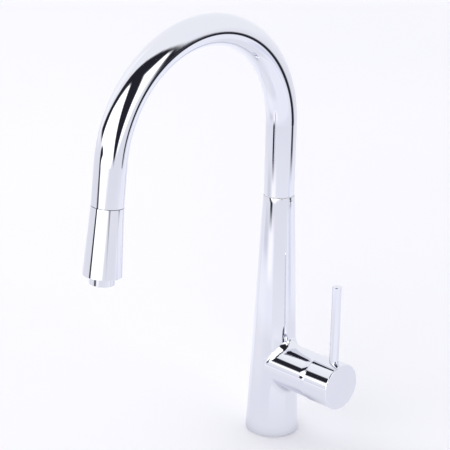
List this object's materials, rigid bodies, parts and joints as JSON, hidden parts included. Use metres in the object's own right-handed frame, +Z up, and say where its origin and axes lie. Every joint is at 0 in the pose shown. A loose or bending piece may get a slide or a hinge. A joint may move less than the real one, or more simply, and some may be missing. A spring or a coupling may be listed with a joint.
{
  "type": "pull down kitchen faucet",
  "caption": "Single-hole kitchen mixer: tapered body, high arched swivel spout with a pull-down spray head on a hose, and a side lever with a round cap.",
  "frame": {"origin": "centre of the faucet's foot, on the top surface of the deck", "axes": "+Z up; the spout reaches towards -Y, over the sink; the handle stands out towards +X"},
  "size_m": [0.114, 0.2577, 0.4722],
  "materials": {
    "polished_chrome": "mirror polished chrome plating",
    "brass": "machined",
    "steel": "turned stainless steel",
    "black_rubber": "moulded",
    "ceramic": "lapped alumina",
    "white_plastic": "moulded acetal",
    "dark_plastic": "moulded",
    "braided_hose": "nylon braid"
  },
  "bodies": {
    "faucet_body": {"base_gasket": "white_plastic", "body_shell": "polished_chrome", "base_plate": "steel", "threaded_shank": "brass", "rubber_washer": "black_rubber", "clamp_washer": "steel", "mounting_nut": "steel", "jack_screws": "steel", "valve_body": "brass", "cartridge_seals": "black_rubber", "cartridge_base": "white_plastic", "fixed_ceramic_disc": "ceramic", "cartridge_housing": "white_plastic", "cartridge_nut": "brass", "bonnet": "polished_chrome", "swivel_stop_screw": "steel", "hose_in_body": "braided_hose"},
    "handle_carrier": {"cartridge_driver": "white_plastic", "stem_pivot_pin": "steel"},
    "ceramic_shutter": {"moving_ceramic_disc": "ceramic", "disc_carrier": "white_plastic"},
    "handle": {"cartridge_stem": "steel", "handle_cap": "polished_chrome", "lever_rod": "polished_chrome", "handle_grub_screw": "steel", "grub_plug": "polished_chrome"},
    "spout": {"spout_tube": "polished_chrome", "spout_spigot": "brass", "swivel_washer": "white_plastic", "upper_bearing_ring": "white_plastic", "lower_bearing_ring": "white_plastic", "spout_clip": "steel", "dock_insert": "dark_plastic", "dock_magnet": "steel", "hose_in_spout": "braided_hose"},
    "hose_connection": {"hose_end": "braided_hose", "hose_ferrule": "steel", "hose_connector": "brass", "connector_orings": "black_rubber"},
    "spray_head": {"head_shell": "polished_chrome", "docking_collar": "white_plastic", "docking_steel_ring": "steel", "head_core": "white_plastic", "connector_retainer": "brass", "filter_screen": "steel", "check_valve": "white_plastic", "aerator_washer": "black_rubber", "nozzle_ring": "polished_chrome", "aerator_insert": "dark_plastic"}
  },
  "joints": [
    {"name": "handle_turn", "type": "hinge", "parent": "faucet_body", "child": "handle_carrier", "pos_m": [0.0505, 0, 0.069], "axis": [1, 0, 0], "range_deg": [-45, 45]},
    {"name": "handle_tilt", "type": "hinge", "parent": "handle_carrier", "child": "handle", "pos_m": [0.0505, 0, 0.069], "axis": [0, 1, 0], "range_deg": [0, 20]},
    {"name": "disc_slide", "type": "slide", "parent": "handle_carrier", "child": "ceramic_shutter", "axis": [0, 0, 1], "range_m": [-0.0001, 0.0032]},
    {"name": "spout_swivel", "type": "hinge", "parent": "faucet_body", "child": "spout", "pos_m": [0, 0, 0.2333], "axis": [0, 0, 1], "range_deg": [-60, 60]},
    {"name": "spray_pull", "type": "slide", "parent": "spout", "child": "hose_connection", "axis": [0, -0.0993, -0.9951], "range_m": [0, 0.18], "stiffness_N_per_m": 20, "springref_m": -0.25},
    {"name": "spray_turn", "type": "hinge", "parent": "hose_connection", "child": "spray_head", "pos_m": [0, -0.20917, 0.25748], "axis": [0, -0.0993, -0.9951], "continuous": true}
  ],
  "couplings": [
    {"joint": "disc_slide", "follows": "handle_tilt", "m_per_rad": 0.008818}
  ]
}
